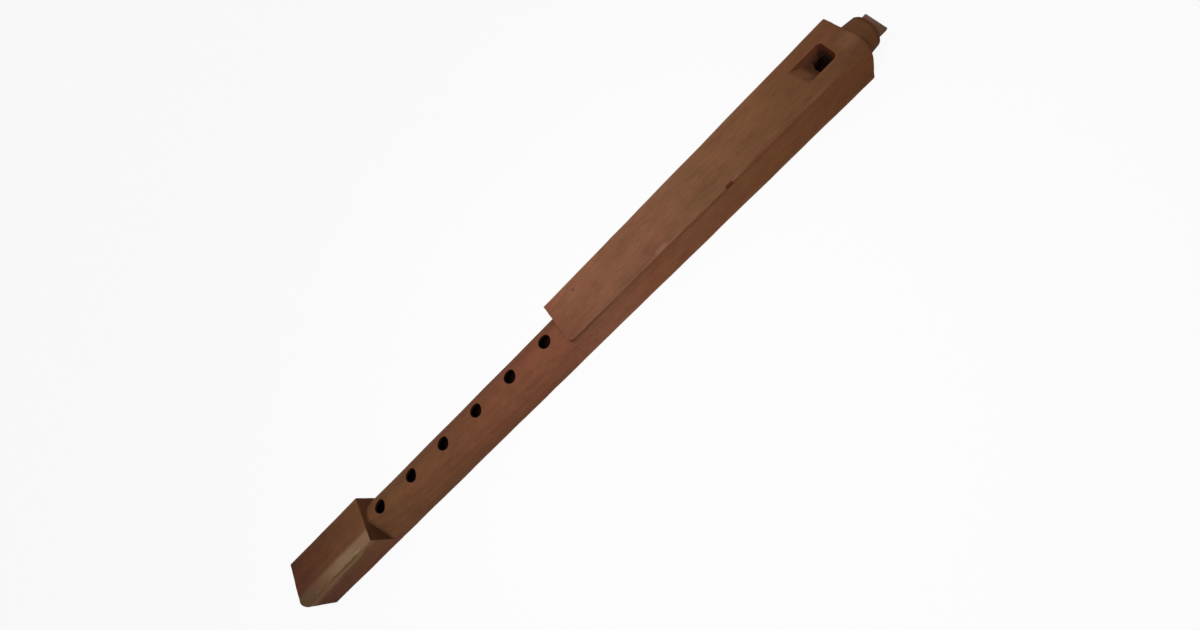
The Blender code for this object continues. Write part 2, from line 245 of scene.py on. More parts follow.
class Wire:
    """An output socket of a node tree. Arithmetic on it adds Math nodes to the tree."""

    def __init__(self, socket):
        self.socket = socket
        self.tree = socket.id_data

    @staticmethod
    def of(tree, kind, sockets=None, output=0, **settings):
        """A new node's output, after its settings and then its sockets are set or linked."""
        node = tree.nodes.new(kind)
        for name, value in settings.items():
            setattr(node, name, value)
        for name, value in (sockets or {}).items():
            target = Wire.pick(node.inputs, name)
            if isinstance(value, Wire):
                tree.links.new(value.socket, target)
            else:
                target.default_value = value
        return Wire(Wire.pick(node.outputs, output)) if node.outputs else None

    @staticmethod
    def pick(sockets, name):
        """A socket by its number, or the one in use by its name."""
        if isinstance(name, int):
            return sockets[name]
        return next(socket for socket in sockets if socket.name == name and socket.enabled)

    def math(self, operation, *others):
        sockets = dict(enumerate((self, *others)))
        return Wire.of(self.tree, "ShaderNodeMath", sockets, operation=operation)

    def __add__(self, other):
        return self.math("ADD", other)

    __radd__ = __add__

    def __sub__(self, other):
        return self.math("SUBTRACT", other)

    def __rsub__(self, other):
        return -self + other

    def __mul__(self, other):
        return self.math("MULTIPLY", other)

    __rmul__ = __mul__

    def __truediv__(self, other):
        return self.math("DIVIDE", other)

    def __neg__(self):
        return self.math("MULTIPLY", -1.0)

    def held(self, low=0.0, high=1.0):
        """This value, held between two limits."""
        return self.math("MAXIMUM", low).math("MINIMUM", high)

    def parts(self, names):
        """Parts of a vector, by their letters."""
        return [Wire.of(self.tree, "ShaderNodeSeparateXYZ", {0: self}, name) for name in names]

    def scaled(self, factor):
        """A colour or vector times a number."""
        return Wire.of(self.tree, "ShaderNodeVectorMath", {0: self, "Scale": factor}, operation="SCALE")

    def share(self, start, end):
        """0 at start and 1 at end, straight between and held beyond."""
        sockets = {"Value": self, "From Min": start, "From Max": end}
        return Wire.of(self.tree, "ShaderNodeMapRange", sockets)

    def step(self, start, end):
        """0 below start and 1 above end, with a smooth rise between. It falls where start is above end."""
        sockets = {"Value": self, "From Min": min(start, end), "From Max": max(start, end)}
        rise = Wire.of(self.tree, "ShaderNodeMapRange", sockets, interpolation_type="SMOOTHSTEP")
        return rise if start < end else 1 - rise

    def band(self, start, end, soft):
        """1 between start and end, fading over soft outside them."""
        return self.step(start - soft, start) * self.step(end + soft, end)

    def mask(self, *limits):
        """A step between two limits, a band from three, or this wire itself from none."""
        if not limits:
            return self
        return self.step(*limits) if len(limits) == 2 else self.band(*limits)


# Shapes


class Ring(NamedTuple):
    """One station of the loft: a rectangle across the stick with a rounding of its own at each corner.

    The shares round_front, round_back, carved and tip tell how far it is round, uneven and drawn to the
    head's round tip. No point of it lies further out along the facet's direction than planed.
    """

    station: float
    half: float
    low: float
    high: float
    left_across: float
    left_down: float
    right_across: float
    right_down: float
    back: float
    middle: float
    round_front: float
    round_back: float
    carved: float
    planed: float
    tip: float


def head_share(x):
    """Share of the head's swelling at x: 0 at its lower end, 1 at the shoulder."""
    return max(0.0, (x - HEAD_STEP) / (SHOULDER - HEAD_STEP))


def half_width(x):
    return (STICK_WIDTH + (MOUTH_WIDTH - STICK_WIDTH) * head_share(x)) / 2


def front_height(x):
    return STICK_DEPTH + (MOUTH_DEPTH - STICK_DEPTH) * head_share(x)


def eased(share):
    """A share held between 0 and 1, with a smooth start and end."""
    held = min(max(share, 0.0), 1.0)
    return held * held * (3 - 2 * held)


def tip_share(x):
    """How far a station follows the round tip in which the head's front ends: 1 at the head's step."""
    return eased(1.0 - abs(x - HEAD_STEP) / TIP_FADE)


def squared(x, across, down, inset, side_inset):
    """The squared stick at x, with its front right edge taken off, drawn in near an end."""
    half = half_width(x) - side_inset
    high = front_height(x) - inset
    edge = max(EDGE_ROUND - side_inset, LEAST_ROUND)
    right = (max(across - side_inset, edge), max(down - inset, edge))
    middle = (side_inset + high) / 2
    ways = (0.0, 0.0, 1.0, NOT_PLANED, tip_share(x))
    return Ring(x, half, side_inset, high, edge, edge, *right, edge, middle, *ways)


def foot(x, inset=0.0, side_inset=0.0):
    """The foot, its front right edge worn round, but hardly at the step."""
    kept = eased(1.0 - (FOOT_STEP - x) / FOOT_WEAR_TAPER)
    share = 1.0 - (1.0 - FOOT_WEAR_STEP_SHARE) * kept
    return squared(x, FOOT_WEAR_ACROSS * share, FOOT_WEAR_DOWN * share, inset, side_inset)


def head(x, inset=0.0, side_inset=0.0):
    """The head, its front right edge eased at the step and rounded off for the lip."""
    relief = max(0.0, 1.0 - (SHOULDER - x) / LIP_RELIEF_LENGTH) * LIP_RELIEF
    corner = STEP_CORNER * eased(1.0 - (x - HEAD_STEP) / STEP_CORNER_LENGTH)
    taken = max(relief, corner, EDGE_ROUND)
    return squared(x, taken, taken, inset, side_inset)


def facet_plane():
    """The knife's facet on the right flank at the foot's step: a point of it and its outward direction."""
    rise = CROWN_RISE * math.sqrt(1 - (FACET_START / CROWN_HALF) ** 2)
    start = Vector((0.0, -FACET_START, FLANK_SPRING + rise))
    run = Vector((0.0, -CROWN_HALF, FACET_SPRING)) - start
    return start, Vector((0.0, run.z, -run.y)).normalized()


def crowned(x):
    """The finger section, round over the front.

    Its right flank is planed flat by the foot's step, and fuller by the head, whose side it runs into.
    """
    slim = 1.0 - FULL_FLANK * eased(1.0 - (HEAD_STEP - x) / FULL_FLANK_LENGTH)
    start, outward = facet_plane()
    least = start.dot(outward)
    most = math.hypot(CROWN_HALF * outward.y, CROWN_RISE * outward.z) + FLANK_SPRING * outward.z
    share = (x - FOOT_STEP) / FACET_LENGTH
    planed = least + (most - least) * share if share < 1.0 else NOT_PLANED
    ovals = (CROWN_HALF, CROWN_RISE, CROWN_HALF * slim, CROWN_RISE * slim)
    ways = (1.0, 0.0, 1.0, planed, tip_share(x))
    return Ring(x, CROWN_HALF, 0.0, CROWN_HEIGHT, *ovals, EDGE_ROUND, FLANK_SPRING, *ways)


def turned(x, radius, height, carved):
    """A round section about a height above the back."""
    low, high = height - radius, height + radius
    ovals = [radius] * 5
    return Ring(x, radius, low, high, *ovals, height, 1.0, 1.0, carved, NOT_PLANED, 0.0)


def spread(start, end, step):
    count = max(1, round(abs(end - start) / step))
    return [start + (end - start) * i / count for i in range(count + 1)]


def quarter_round(radius):
    """How far along and how far in a rounded end lies, from the end face to the full section."""
    return [(radius * (1 - math.cos(a)), radius * (1 - math.sin(a))) for a in QUARTER_TURN]


def nipple_rings():
    """The round nipple, from the cove at its root to its rim."""
    height = BORE_HEIGHT + NIPPLE_RISE
    start, end = SHOULDER + NIPPLE_COVE, NIPPLE_END - NIPPLE_RIM_ROUND
    rings = []
    for along, inset in quarter_round(NIPPLE_COVE):
        rings.append(turned(SHOULDER + along, NIPPLE_ROOT + inset, height, 1.0))
    for x in spread(start, end, RING_STEP)[1:]:
        share = (x - start) / (end - start)
        rings.append(turned(x, NIPPLE_ROOT + (NIPPLE_RIM - NIPPLE_ROOT) * share, height, 1.0))
    for along, inset in reversed(quarter_round(NIPPLE_RIM_ROUND)[:-1]):
        rings.append(turned(NIPPLE_END - along, NIPPLE_RIM - inset, height, 1.0))
    return rings


def bore_rings():
    """The bore, from the mouth end to the foot end, eased at both."""
    stations = spread(NIPPLE_END - BORE_CHAMFER, FOOT_END + BORE_CHAMFER, BORE_STEP)
    ends = [turned(x, BORE_RADIUS + BORE_CHAMFER, BORE_HEIGHT, 0.0) for x in (NIPPLE_END, FOOT_END)]
    return [ends[0], *(turned(x, BORE_RADIUS, BORE_HEIGHT, 0.0) for x in stations), ends[1]]


def body_rings():
    """Every ring from the foot end over the outside to the mouth end, and back through the bore.

    At the two steps only the front is drawn in, since the sides and the back run on.
    """
    rings = [foot(FOOT_END + along, inset, inset) for along, inset in quarter_round(END_ROUND)]
    rings += [foot(x) for x in spread(FOOT_END + END_ROUND, FOOT_STEP - EDGE_ROUND, RING_STEP)[1:-1]]
    rings += [foot(FOOT_STEP - along, inset) for along, inset in reversed(quarter_round(EDGE_ROUND))]
    rings += [crowned(x) for x in spread(FOOT_STEP, HEAD_STEP, RING_STEP)]
    rings += [head(HEAD_STEP + along, inset) for along, inset in quarter_round(STEP_ROUND)]
    rings += [head(x) for x in spread(HEAD_STEP + STEP_ROUND, SHOULDER - SHOULDER_ROUND, RING_STEP)[1:-1]]
    for along, inset in reversed(quarter_round(SHOULDER_ROUND)):
        rings.append(head(SHOULDER - along, inset * SHOULDER_FALL, inset * SHOULDER_DRAWN))
    rings += nipple_rings() + bore_rings()
    return rings + rings[:1]


def profile_points():
    """The points round a ring, each with its corner, its angle round it and its slide along an edge."""
    count = SIDE_POINTS + CORNER_POINTS + FRONT_POINTS
    quarter = []
    for i in range(count + 1):
        turn = min(max(i - SIDE_POINTS, 0), CORNER_POINTS) / CORNER_POINTS
        slide_down = max(0.0, 1.0 - i / SIDE_POINTS)
        slide_in = max(0.0, (i - SIDE_POINTS - CORNER_POINTS) / FRONT_POINTS)
        quarter.append((turn * math.pi / 2, i / count * math.pi / 2, slide_in, slide_down))
    points = []
    for side, front in ((1.0, 1.0), (-1.0, 1.0), (-1.0, 0.0), (1.0, 0.0)):
        way = quarter if side * (2 * front - 1) > 0 else quarter[::-1]
        points += [(side, front, *point) for point in way[:-1]]
    return points + points[:1]


PROFILE_NAMES = ("side", "front", "sharp_turn", "round_turn", "slide_in", "slide_down")


def object_from(name, mesh):
    made = bpy.data.objects.new(name, mesh)
    bpy.context.scene.collection.objects.link(made)
    return made


@contextlib.contextmanager
def editing(mesh):
    """A mesh opened for editing, and written back at the end."""
    bm = bmesh.new()
    bm.from_mesh(mesh)
    yield bm
    bm.to_mesh(mesh)
    bm.free()


def point_table(name, columns, rows):
    """A loose row of points that carries one named value per column."""
    mesh = bpy.data.meshes.new(name)
    mesh.from_pydata([(0.0, 0.0, 0.0)] * len(rows), [], [])
    for column, values in zip(columns, zip(*rows)):
        mesh.attributes.new(column, "FLOAT", "POINT").data.foreach_set("value", values)
    return object_from(name, mesh)


def new_tree(name, inputs):
    """A Geometry Nodes tree, what makes its nodes, and its named inputs as wires."""
    tree = bpy.data.node_groups.new(name, "GeometryNodeTree")
    for label, kind in inputs.items():
        tree.interface.new_socket(label, in_out="INPUT", socket_type="NodeSocket" + kind)
    tree.interface.new_socket("Geometry", in_out="OUTPUT", socket_type="NodeSocketGeometry")
    source = tree.nodes.new("NodeGroupInput")
    given = {label: Wire(source.outputs[label]) for label in inputs}
    return tree, functools.partial(Wire.of, tree), given


def end_tree(make, geometry, material):
    """Ends a tree in plain geometry with a material."""
    plain = make("GeometryNodeRealizeInstances", {"Geometry": geometry})
    painted = make("GeometryNodeSetMaterial", {"Geometry": plain, "Material": material})
    make("NodeGroupOutput", {"Geometry": painted})


def finished_mesh(source):
    """The object's mesh with its modifiers done, as a plain mesh."""
    bpy.context.view_layer.update()
    graph = bpy.context.evaluated_depsgraph_get()
    return bpy.data.meshes.new_from_object(source.evaluated_get(graph))


def run_tree(tree, source, values):
    """Runs a tree on an object and returns the plain mesh it makes."""
    modifier = source.modifiers.new(tree.name, "NODES")
    modifier.node_group = tree
    for item in tree.interface.items_tree:
        if item.in_out == "INPUT" and item.name in values:
            modifier[item.identifier] = values[item.name]
    mesh = finished_mesh(source)
    source.modifiers.remove(modifier)
    return mesh


POINT_VALUE = {"data_type": "FLOAT", "domain": "POINT"}


def named_value(make, name):
    return make("GeometryNodeInputNamedAttribute", {"Name": name}, data_type="FLOAT")


def hand_carved(make, given, geometry):
    """The loft, still inside out, with its carved faces sunk unevenly along their normals."""
    x, y, z = make("GeometryNodeInputPosition").parts("XYZ")
    length, width = given["Carving Length"], given["Carving Width"]
    waves = make("ShaderNodeCombineXYZ", {"X": x / length, "Y": y / width, "Z": z / width})
    unevenness = make("ShaderNodeTexNoise", {"Vector": waves, "Scale": 1.0, "Detail": 1.0})
    depth = unevenness.step(*CARVING_RISE) * named_value(make, "carved") * given["Carving Depth"]
    inwards = make("GeometryNodeInputNormal").scaled(depth)
    return make("GeometryNodeSetPosition", {"Geometry": geometry, "Offset": inwards})


def loft_tree():
    """Lofts the rings of one point table round the profile of another, then carves it by hand."""
    tree, make, given = new_tree("carved loft", {
        "Geometry": "Geometry", "Profile": "Object", "Facet Outward": "Vector", "Tip Start": "Float",
        "Tip Radius": "Float", "Carving Depth": "Float", "Carving Length": "Float",
        "Carving Width": "Float", "Material": "Material"})
    rings = given["Geometry"]
    profile = make("GeometryNodeObjectInfo", {"Object": given["Profile"]}, "Geometry")
    ring_count, point_count = (
        make("GeometryNodeAttributeDomainSize", {0: table}, "Point Count", component="MESH")
        for table in (rings, profile))
    index = make("GeometryNodeInputIndex")
    # Half a point is added, so that rounding can't put a ring's first point in the ring before it
    ring_number = ((index + 0.5) / point_count).math("FLOOR")
    point_number = index - ring_number * point_count

    def reading(table, number, name):
        sockets = {"Geometry": table, "Value": named_value(make, name), "Index": number}
        return make("GeometryNodeSampleIndex", sockets, **POINT_VALUE)

    ring = Ring(*(reading(rings, ring_number, name) for name in Ring._fields))
    side, front, sharp_turn, round_turn, slide_in, slide_down = (
        reading(profile, point_number, name) for name in PROFILE_NAMES)
    left = (side + 1) / 2
    front_across = ring.right_across + (ring.left_across - ring.right_across) * left
    front_down = ring.right_down + (ring.left_down - ring.right_down) * left
    across = ring.back + (front_across - ring.back) * front
    down = ring.back + (front_down - ring.back) * front
    corner = (ring.low + down) * (1 - front) + (ring.high - down) * front
    roundness = ring.round_back + (ring.round_front - ring.round_back) * front
    turn = sharp_turn + (round_turn - sharp_turn) * roundness
    y = side * ((ring.half - across) * (1 - slide_in) + across * turn.math("COSINE"))
    z = corner * (1 - slide_down) + ring.middle * slide_down + (2 * front - 1) * down * turn.math("SINE")
    outward_y, outward_z = given["Facet Outward"].parts("YZ")
    proud = (y * outward_y + z * outward_z - ring.planed).math("MAXIMUM", 0.0)
    beyond = ((-y - given["Tip Start"]) / given["Tip Radius"]).held()
    drawn_back = (1 - (1 - beyond * beyond).math("SQRT")) * given["Tip Radius"] * ring.tip
    place = make("ShaderNodeCombineXYZ", {
        "X": ring.station + drawn_back, "Y": y - proud * outward_y, "Z": z - proud * outward_z})
    grid = make("GeometryNodeMeshGrid", {"Vertices X": ring_count, "Vertices Y": point_count})
    sockets = {"Geometry": grid, "Name": "carved", "Value": ring.carved}
    marked = make("GeometryNodeStoreNamedAttribute", sockets, **POINT_VALUE)
    lofted = make("GeometryNodeSetPosition", {"Geometry": marked, "Position": place})
    closed = make("GeometryNodeMergeByDistance", {"Geometry": lofted, "Distance": WELD})
    outwards = make("GeometryNodeFlipFaces", {"Mesh": hand_carved(make, given, closed)})
    end_tree(make, outwards, given["Material"])
    return tree


def hole_tree():
    """Drills a row of holes through the crown, each with a rounded lip that follows the crown."""
    tree, make, given = new_tree("finger holes", {
        "Geometry": "Geometry", "First Hole": "Vector", "Pitch": "Vector", "Count": "Int", "Radius": "Float",
        "Lip": "Float", "Depth": "Float", "Crown Height": "Float", "Crown Half Width": "Float",
        "Crown Rise": "Float", "Material": "Material"})
    drill = make("GeometryNodeMeshCylinder", {
        "Vertices": DRILL_SIDES, "Side Segments": DRILL_RINGS, "Radius": 1.0, "Depth": 2.0})
    along, across, level = make("GeometryNodeInputPosition").parts("XYZ")
    above = level * given["Depth"]
    flare = (above / given["Lip"] + 1).held()
    radius = given["Radius"] + flare * flare * given["Lip"]
    y = across * radius
    fall = 1 - (1 - (y / given["Crown Half Width"]).math("POWER", 2.0)).math("SQRT")
    z = given["Crown Height"] - fall * given["Crown Rise"] + above
    shaped = make("ShaderNodeCombineXYZ", {"X": along * radius, "Y": y, "Z": z})
    drill = make("GeometryNodeSetPosition", {"Geometry": drill, "Position": shaped})
    sockets = {"Count": given["Count"], "Start Location": given["First Hole"], "Offset": given["Pitch"]}
    row = make("GeometryNodeMeshLine", sockets, mode="OFFSET")
    drills = make("GeometryNodeInstanceOnPoints", {"Points": row, "Instance": drill})
    drills = make("GeometryNodeRealizeInstances", {"Geometry": drills})
    sockets = {"Mesh 1": given["Geometry"], "Mesh 2": drills}
    pierced = make("GeometryNodeMeshBoolean", sockets, operation="DIFFERENCE", solver="EXACT")
    end_tree(make, pierced, given["Material"])
    return tree


def skin(name, rings):
    """A closed cutter through rings of as many points each, capped at both ends."""
    mesh = bpy.data.meshes.new(name)
    with editing(mesh) as bm:
        loops = [[bm.verts.new(point) for point in ring] for ring in rings]
        for one, two in zip(loops, loops[1:]):
            for i in range(len(one)):
                bm.faces.new((one[i - 1], one[i], two[i], two[i - 1]))
        bm.faces.new(loops[0])
        bm.faces.new(loops[-1])
        bmesh.ops.recalc_face_normals(bm, faces=bm.faces)
    return object_from(name, mesh)


def lip_levels(surface, lip):
    """Heights and outward offsets of a cutter's rounded lip, up to the surface and past it."""
    rounded = [(surface - lip * (1 - math.sin(a)), lip * (1 - math.cos(a))) for a in QUARTER_TURN]
    return rounded + [(surface + OVERCUT, lip)]


def wall_rise(z):
    """How far up the window's walls a height is: 0 at the bore, 1 at the front."""
    return max(0.0, z - BORE_TOP) / (front_height(WINDOW_HEAD) - BORE_TOP)


def labium_edge(y):
    """The labium was cut a little askew: its left part reaches nearer the mouth than its right part."""
    return LABIUM + LABIUM_ASKEW * (2 * eased((y - ASKEW_FROM) / (ASKEW_TO - ASKEW_FROM)) - 1)


def window_chisel():
    """The window's cut, down into the bore: askew, wider at the front and round at its two head corners."""

    def corner(side, lean, offset, radius, askew):
        ahead = WINDOW_HEAD + askew + lean * HEAD_WALL_LEAN - radius
        beside = WINDOW_WIDTH / 2 + lean - radius
        reach = radius + offset
        return [(ahead + reach * math.cos(a), side * (beside + reach * math.sin(a))) for a in QUARTER_TURN]

    def outline(rise, offset):
        left = corner(1, LEFT_SPREAD * rise, offset, LEFT_CORNER, LEFT_HEAD)
        right = corner(-1, RIGHT_SPREAD * rise, offset, RIGHT_CORNER, RIGHT_HEAD)
        bent = spread(ASKEW_TO, ASKEW_FROM, (ASKEW_TO - ASKEW_FROM) / ROUND_RINGS)
        edge = [left[-1][1]] + bent + [right[-1][1]]
        return left + [(labium_edge(y), y) for y in edge] + right[::-1]

    lip = lip_levels(front_height(WINDOW_HEAD), WINDOW_LIP)
    levels = [(BORE_HEIGHT, 0.0), (BORE_TOP, 0.0), *lip]
    return skin("window_chisel", [
        [(x, y, z) for x, y in outline(wall_rise(z), offset)] for z, offset in levels])


def ramp_chisel():
    """The slope down to the labium, in a few strokes of a broad chisel."""
    edge = BORE_TOP + LABIUM_THICKNESS
    surface = front_height(RAMP_TIP)
    slope = (surface - edge) / RAMP_LENGTH
    start = RAMP_TIP - OVERCUT
    stations = spread(start, LABIUM, (LABIUM - start) / (RAMP_STROKES * ROUND_RINGS))
    rings = []
    for x in stations + [LABIUM + LABIUM_ASKEW, LABIUM + WINDOW_LENGTH / 2]:
        share = min(1.0, (x - start) / (LABIUM - start))
        stroke = share * RAMP_STROKES % 1.0
        sag = 4 * stroke * (1 - stroke) * STROKE_SAG
        bottom = edge + max(0.0, LABIUM - x) * slope - sag
        top = surface + OVERCUT
        left = [(x, WINDOW_WIDTH / 2 + LEFT_SPREAD * wall_rise(z), z) for z in (bottom, top)]
        right = [(x, -WINDOW_WIDTH / 2 - RIGHT_SPREAD * wall_rise(z), z) for z in (top, bottom)]
        rings.append(left + right)
    return skin("ramp_chisel", rings)


def nick_knife():
    """A chip out of the head's front right edge, deepest in its middle."""
    rings = []
    for x in spread(NICK - NICK_LENGTH / 2, NICK + NICK_LENGTH / 2, NICK_LENGTH / (2 * ROUND_RINGS)):
        share = math.cos(math.pi * (x - NICK) / NICK_LENGTH)
        side, front = -half_width(x), front_height(x)
        over = (x, side + NICK_ACROSS * share + NICK_EDGE, front + NICK_EDGE)
        under = (x, side - NICK_EDGE, front - NICK_DOWN * share - NICK_EDGE)
        rings.append([over, (x, side - OVERCUT, front + OVERCUT), under])
    return skin("nick_knife", rings)


def cut(piece, tool):
    modifier = piece.modifiers.new(tool.name, "BOOLEAN")
    modifier.operation = "DIFFERENCE"
    modifier.solver = "EXACT"
    modifier.object = tool
    piece.data = finished_mesh(piece)
    piece.modifiers.clear()
    bpy.data.objects.remove(tool, do_unlink=True)


def tidy(piece, material):
    """Welds a piece's mesh, turns its faces out, and shades it in one material, smooth between creases."""
    with editing(piece.data) as bm:
        bmesh.ops.remove_doubles(bm, verts=bm.verts, dist=WELD)
        bmesh.ops.dissolve_degenerate(bm, edges=bm.edges, dist=WELD)
        bmesh.ops.recalc_face_normals(bm, faces=bm.faces)
        for face in bm.faces:
            face.material_index = 0
    piece.data.materials.clear()
    piece.data.materials.append(material)
    piece.data.shade_smooth()
    piece.data.set_sharp_from_angle(angle=CREASE_ANGLE)


def carved_body(material):
    """The body: lofted, unevenly carved, drilled, cut for the window and its ramp, and chipped."""
    rings = point_table("rings", Ring._fields, body_rings())
    profile = point_table("profile", PROFILE_NAMES, profile_points())
    mesh = run_tree(loft_tree(), rings, {
        "Profile": profile, "Facet Outward": facet_plane()[1], "Tip Start": STICK_WIDTH / 2 - TIP_RADIUS,
        "Tip Radius": TIP_RADIUS, "Carving Depth": CARVING_DEPTH, "Carving Length": CARVING_LENGTH,
        "Carving Width": CARVING_WIDTH, "Material": material})
    body = object_from("carved_body", mesh)
    body.data = run_tree(hole_tree(), body, {
        "First Hole": (hole_places[0], 0.0, 0.0), "Pitch": (HOLE_PITCH, 0.0, 0.0), "Count": HOLE_COUNT,
        "Radius": HOLE_RADIUS, "Lip": HOLE_LIP, "Depth": CROWN_HEIGHT - BORE_HEIGHT,
        "Crown Height": CROWN_HEIGHT, "Crown Half Width": CROWN_HALF, "Crown Rise": CROWN_RISE,
        "Material": material})
    for tool in (window_chisel(), ramp_chisel(), nick_knife()):
        cut(body, tool)
    tidy(body, material)
    for table in (rings, profile):
        bpy.data.objects.remove(table, do_unlink=True)
    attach(body, "flute")
    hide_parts("flute_body")


def planed_block(material):
    """The fipple block: the solid's own form with its edges eased."""
    block = object_from("planed_block", frame["nodes"]["fipple_block"].data.copy())
    with editing(block.data) as bm:
        bmesh.ops.remove_doubles(bm, verts=bm.verts, dist=WELD)
        bmesh.ops.dissolve_limit(bm, verts=bm.verts, edges=bm.edges, angle_limit=FLAT_ANGLE)
    bevel = block.modifiers.new("eased edges", "BEVEL")
    bevel.limit_method = "ANGLE"
    bevel.angle_limit = CREASE_ANGLE
    bevel.width = BLOCK_EDGE
    bevel.segments = BLOCK_EDGE_SEGMENTS
    block.data = finished_mesh(block)
    block.modifiers.clear()
    tidy(block, material)
    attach(block, "block")
    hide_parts("fipple_block")


# Materials. A pair of numbers is where a mask starts and where it ends, and a third is how far it fades
# outside them. A noise has the length and width of its features, then its detail and roughness.
MASK_SOFT = 0.0003

# The wood's figure: where its pith lies behind the back, its rings, streaks, fibres and pores
PITH_Y = 0.012
PITH_Z = -0.055
RING_PITCH = 0.0034
RING_SWAY = 0.006
GRAIN_SLOPE = 0.022
SWAY_NOISE = (0.120, 0.030)
STREAK_NOISE = (0.055, 0.0016, 3.0, 0.6)
FIBRE_NOISE = (0.022, 0.00042)
PORE_NOISE = (0.0085, 0.00033, 1.0)
PORE_EDGE = (0.10, 0.20)

# How strong the figure is, how high its grain, and how dull the wood
RING_SHADE = 0.04
STREAK_SHADE = 0.20
FIBRE_SHADE = 0.13
PORE_SHARE = 0.25
GRAIN_HEIGHT = 0.6
PORE_DEPTH = 0.7
BUMP_DEPTH = 0.00010
WOOD_GLOSS = 0.02
WOOD_ROUGHNESS = 0.62


def distance(one, two):
    """How far off a point is that lies so far one way and so far square to it."""
    return (one * one + two * two).math("SQRT")


class Wood:
    """A material of wood: its figure, and the colour laid on it so far."""

    def __init__(self, name):
        self.material = bpy.data.materials.new(name)
        self.material.use_nodes = True
        self.tree = self.material.node_tree
        self.place = self.make("ShaderNodeTexCoord", output="Object")
        self.x, self.y, self.z = self.place.parts("XYZ")
        sway = self.noise(*SWAY_NOISE) * RING_SWAY + self.x * GRAIN_SLOPE
        radius = distance(self.y - PITH_Y, self.z - PITH_Z) + sway
        self.rings = (radius * (2 * math.pi / RING_PITCH)).math("SINE")
        self.streaks = self.noise(*STREAK_NOISE)
        self.fibres = self.noise(*FIBRE_NOISE)
        self.pores = self.noise(*PORE_NOISE).step(*PORE_EDGE)
        self.colour = None

    def make(self, kind, sockets=None, output=0, **settings):
        return Wire.of(self.tree, kind, sockets, output, **settings)

    def noise(self, length, width, detail=2.0, roughness=0.5):
        """Noise about its middle value, drawn out along the stick, with features of a length and width."""
        scales = (1 / length, 1 / width, 1 / width)
        stretched = self.make("ShaderNodeVectorMath", {0: self.place, 1: scales}, operation="MULTIPLY")
        sockets = {"Vector": stretched, "Scale": 1.0, "Detail": detail, "Roughness": roughness}
        return self.make("ShaderNodeTexNoise", sockets) - 0.5

    def stain(self, stops, place):
        """Starts the colour with one from a row of colours."""
        self.colour = self.make("ShaderNodeValToRGB", {"Fac": place})
        elements = self.colour.socket.node.color_ramp.elements
        while len(elements) < len(stops):
            elements.new(1.0)
        for element, (position, colour) in zip(elements, stops):
            element.position = position
            element.color = (*colour, 1.0)

    def lay(self, colour, share, blend="MIX"):
        """Lays a share of a colour over the colour so far."""
        # A Mix node's colours are its sockets 6 and 7, and its mixed colour is its output 2
        sockets = {0: share, 6: self.colour, 7: (*colour, 1.0)}
        self.colour = self.make("ShaderNodeMix", sockets, 2, data_type="RGBA", blend_type=blend)

    def lay_marks(self, marks, within=1.0):
        """Lays marks: each a colour, its share, how this grows with some wires, and limits on others."""
        for colour, share, grows, limits in marks:
            for name, more in grows.items():
                share = share + getattr(self, name) * more
            share = share * within
            for name, places in limits.items():
                share = getattr(self, name).mask(*places) * share
            self.lay(colour, share)

    def shade(self, factor):
        """Makes the colour so far darker or paler."""
        self.colour = self.colour.scaled(factor)

    def finish(self, roughness):
        """Ends the material, dull and with an open grain."""
        height = (self.streaks + self.fibres) * GRAIN_HEIGHT - self.pores * PORE_DEPTH
        sockets = {"Strength": 1.0, "Distance": BUMP_DEPTH, "Height": height}
        normal = self.make("ShaderNodeBump", sockets, "Normal")
        inputs = self.tree.nodes["Principled BSDF"].inputs
        inputs["Specular IOR Level"].default_value = WOOD_GLOSS
        for name, wire in (("Base Color", self.colour), ("Roughness", roughness), ("Normal", normal)):
            self.tree.links.new(wire.socket, inputs[name])
        return self.material


# How far a face has to turn to count as an end or a side, and the patches and flecks of wear
END_FACING = (0.55, 0.90)
SIDE_FACING = (0.70, 0.40)
PATCH_NOISE = (0.014, 0.009)
PATCH_EDGE = (-0.12, 0.14)
FLECK_NOISE = (0.0045, 0.0022)
FLECK_EDGE = (0.05, 0.20)

# The foot's worn edge: how ragged it is, how its wear and painted sheen grow from the end, where a pale band
# of wear and painted sheen lies over it, and how a pale strip slopes below it
RAGGED_NOISE = (0.0036, 0.0030)
RAGGED_WIDTH = 0.0034
WEAR_ALONG = (0.012, 0.034)
BAND_START = (-0.0013, -0.0002)
BAND_END = (0.0098, 0.0062)
BAND_ALONG = (-0.004, 0.050)
STRIP_SLOPE = 0.047

# The window's opening and walls, and a paler level deep in it, a painted glint
OPENING_EDGE = (0.0008, 0.0004)
WALL_DEPTH = (0.0002, 0.0012)
GLINT_DEPTH = (0.0105, 0.0130, 0.0010)


